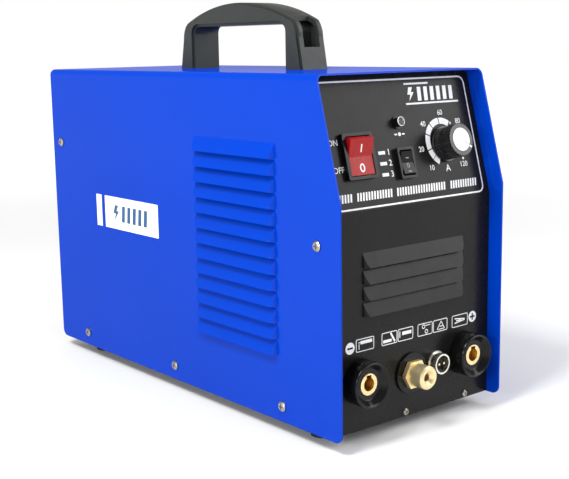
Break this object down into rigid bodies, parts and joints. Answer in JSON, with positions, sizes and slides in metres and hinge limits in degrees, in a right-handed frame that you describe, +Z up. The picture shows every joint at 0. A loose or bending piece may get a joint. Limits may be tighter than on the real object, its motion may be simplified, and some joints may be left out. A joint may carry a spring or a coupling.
{
  "type": "tig welding machine",
  "caption": "Portable inverter welding machine in a folded sheet cover, with a carrying handle, rocker switches, a current dial, output sockets and a cooling fan.",
  "frame": {"origin": "on the floor, under the middle of the machine's bounding box", "axes": "+X to the right seen from the front, +Y from the front panel to the rear panel, +Z up"},
  "size_m": [0.1642, 0.391, 0.294],
  "materials": {
    "blue_paint": "satin powder coat",
    "black_paint": "fine-textured satin black",
    "tray_steel": "zinc plated",
    "zinc_screw": "zinc plated",
    "handle_plastic": "satin moulded",
    "black_plastic": "satin moulded",
    "knob_plastic": "soft gloss",
    "red_plastic": "gloss",
    "lamp_plastic": "clear diffused",
    "foot_rubber": "matt",
    "hose_rubber": "matt",
    "label_film": "smooth printed film",
    "brass": "machined",
    "gold_pins": "plated",
    "nickel": "nickel plated",
    "copper": "bare copper",
    "sink_aluminium": "extruded",
    "cap_aluminium": "spun disc",
    "circuit_board": "solder mask over glass fibre",
    "package_black": "moulded epoxy",
    "capacitor_sleeve": "shrink sleeve",
    "ferrite": "sintered",
    "winding": "enamelled copper wire"
  },
  "bodies": {
    "machine": {"cover": "blue_paint", "base_plate": "tray_steel", "front_panel": "black_paint", "rear_panel": "black_paint", "handle": "handle_plastic", "handle_screws": "zinc_screw", "rubber_feet": "foot_rubber", "foot_screws": "zinc_screw", "cover_screws": "zinc_screw", "panel_screws": "zinc_screw", "side_label": "label_film", "power_switch_body": "black_plastic", "mode_switch_body": "black_plastic", "potentiometer_body": "tray_steel", "potentiometer_nut": "nickel", "lamp_holder": "black_plastic", "lamp_lens": "lamp_plastic", "left_socket_body": "black_plastic", "right_socket_body": "black_plastic", "left_socket_contact": "brass", "right_socket_contact": "brass", "socket_nuts": "brass", "torch_insulator": "black_plastic", "torch_connector": "brass", "torch_connector_nut": "brass", "trigger_socket_shell": "nickel", "trigger_socket_insert": "black_plastic", "trigger_socket_pins": "gold_pins", "trigger_socket_nut": "nickel", "fan_frame": "black_plastic", "fan_guard": "nickel", "fan_screws": "zinc_screw", "cable_gland": "black_plastic", "gland_nut": "black_plastic", "gas_inlet": "brass", "gas_valve": "tray_steel", "gas_hose": "hose_rubber", "earth_stud": "zinc_screw", "earth_nuts": "zinc_screw", "power_board": "circuit_board", "control_board": "circuit_board", "board_standoffs": "brass", "panel_standoffs": "brass", "input_heat_sink": "sink_aluminium", "output_heat_sink": "sink_aluminium", "switching_transistors": "package_black", "output_diodes": "package_black", "capacitors": "capacitor_sleeve", "bridge_rectifier": "package_black", "transformer_core": "ferrite", "transformer_winding": "winding", "output_choke": "winding", "left_output_bar": "copper", "right_output_bar": "copper"},
    "power_rocker": {"power_rocker": "red_plastic"},
    "mode_rocker": {"mode_rocker": "black_plastic"},
    "current_knob": {"current_knob": "knob_plastic", "knob_cap": "cap_aluminium", "potentiometer_shaft": "nickel"},
    "fan_rotor": {"fan_rotor": "black_plastic"}
  },
  "joints": [
    {"name": "power_switch", "type": "hinge", "parent": "machine", "child": "power_rocker", "pos_m": [-0.0435, -0.16948, 0.1905], "axis": [1, 0, 0], "range_deg": [-24, 0]},
    {"name": "mode_switch", "type": "hinge", "parent": "machine", "child": "mode_rocker", "pos_m": [-0.0027, -0.17153, 0.18298], "axis": [1, 0, 0], "range_deg": [-12, 12]},
    {"name": "current_dial", "type": "hinge", "parent": "machine", "child": "current_knob", "pos_m": [0.0385, -0.17711, 0.19486], "axis": [0, -0.965, 0.2622], "range_deg": [-12, 260]},
    {"name": "fan_spin", "type": "hinge", "parent": "machine", "child": "fan_rotor", "pos_m": [0, 0.1595, 0.157], "axis": [0, 1, 0], "continuous": true}
  ]
}
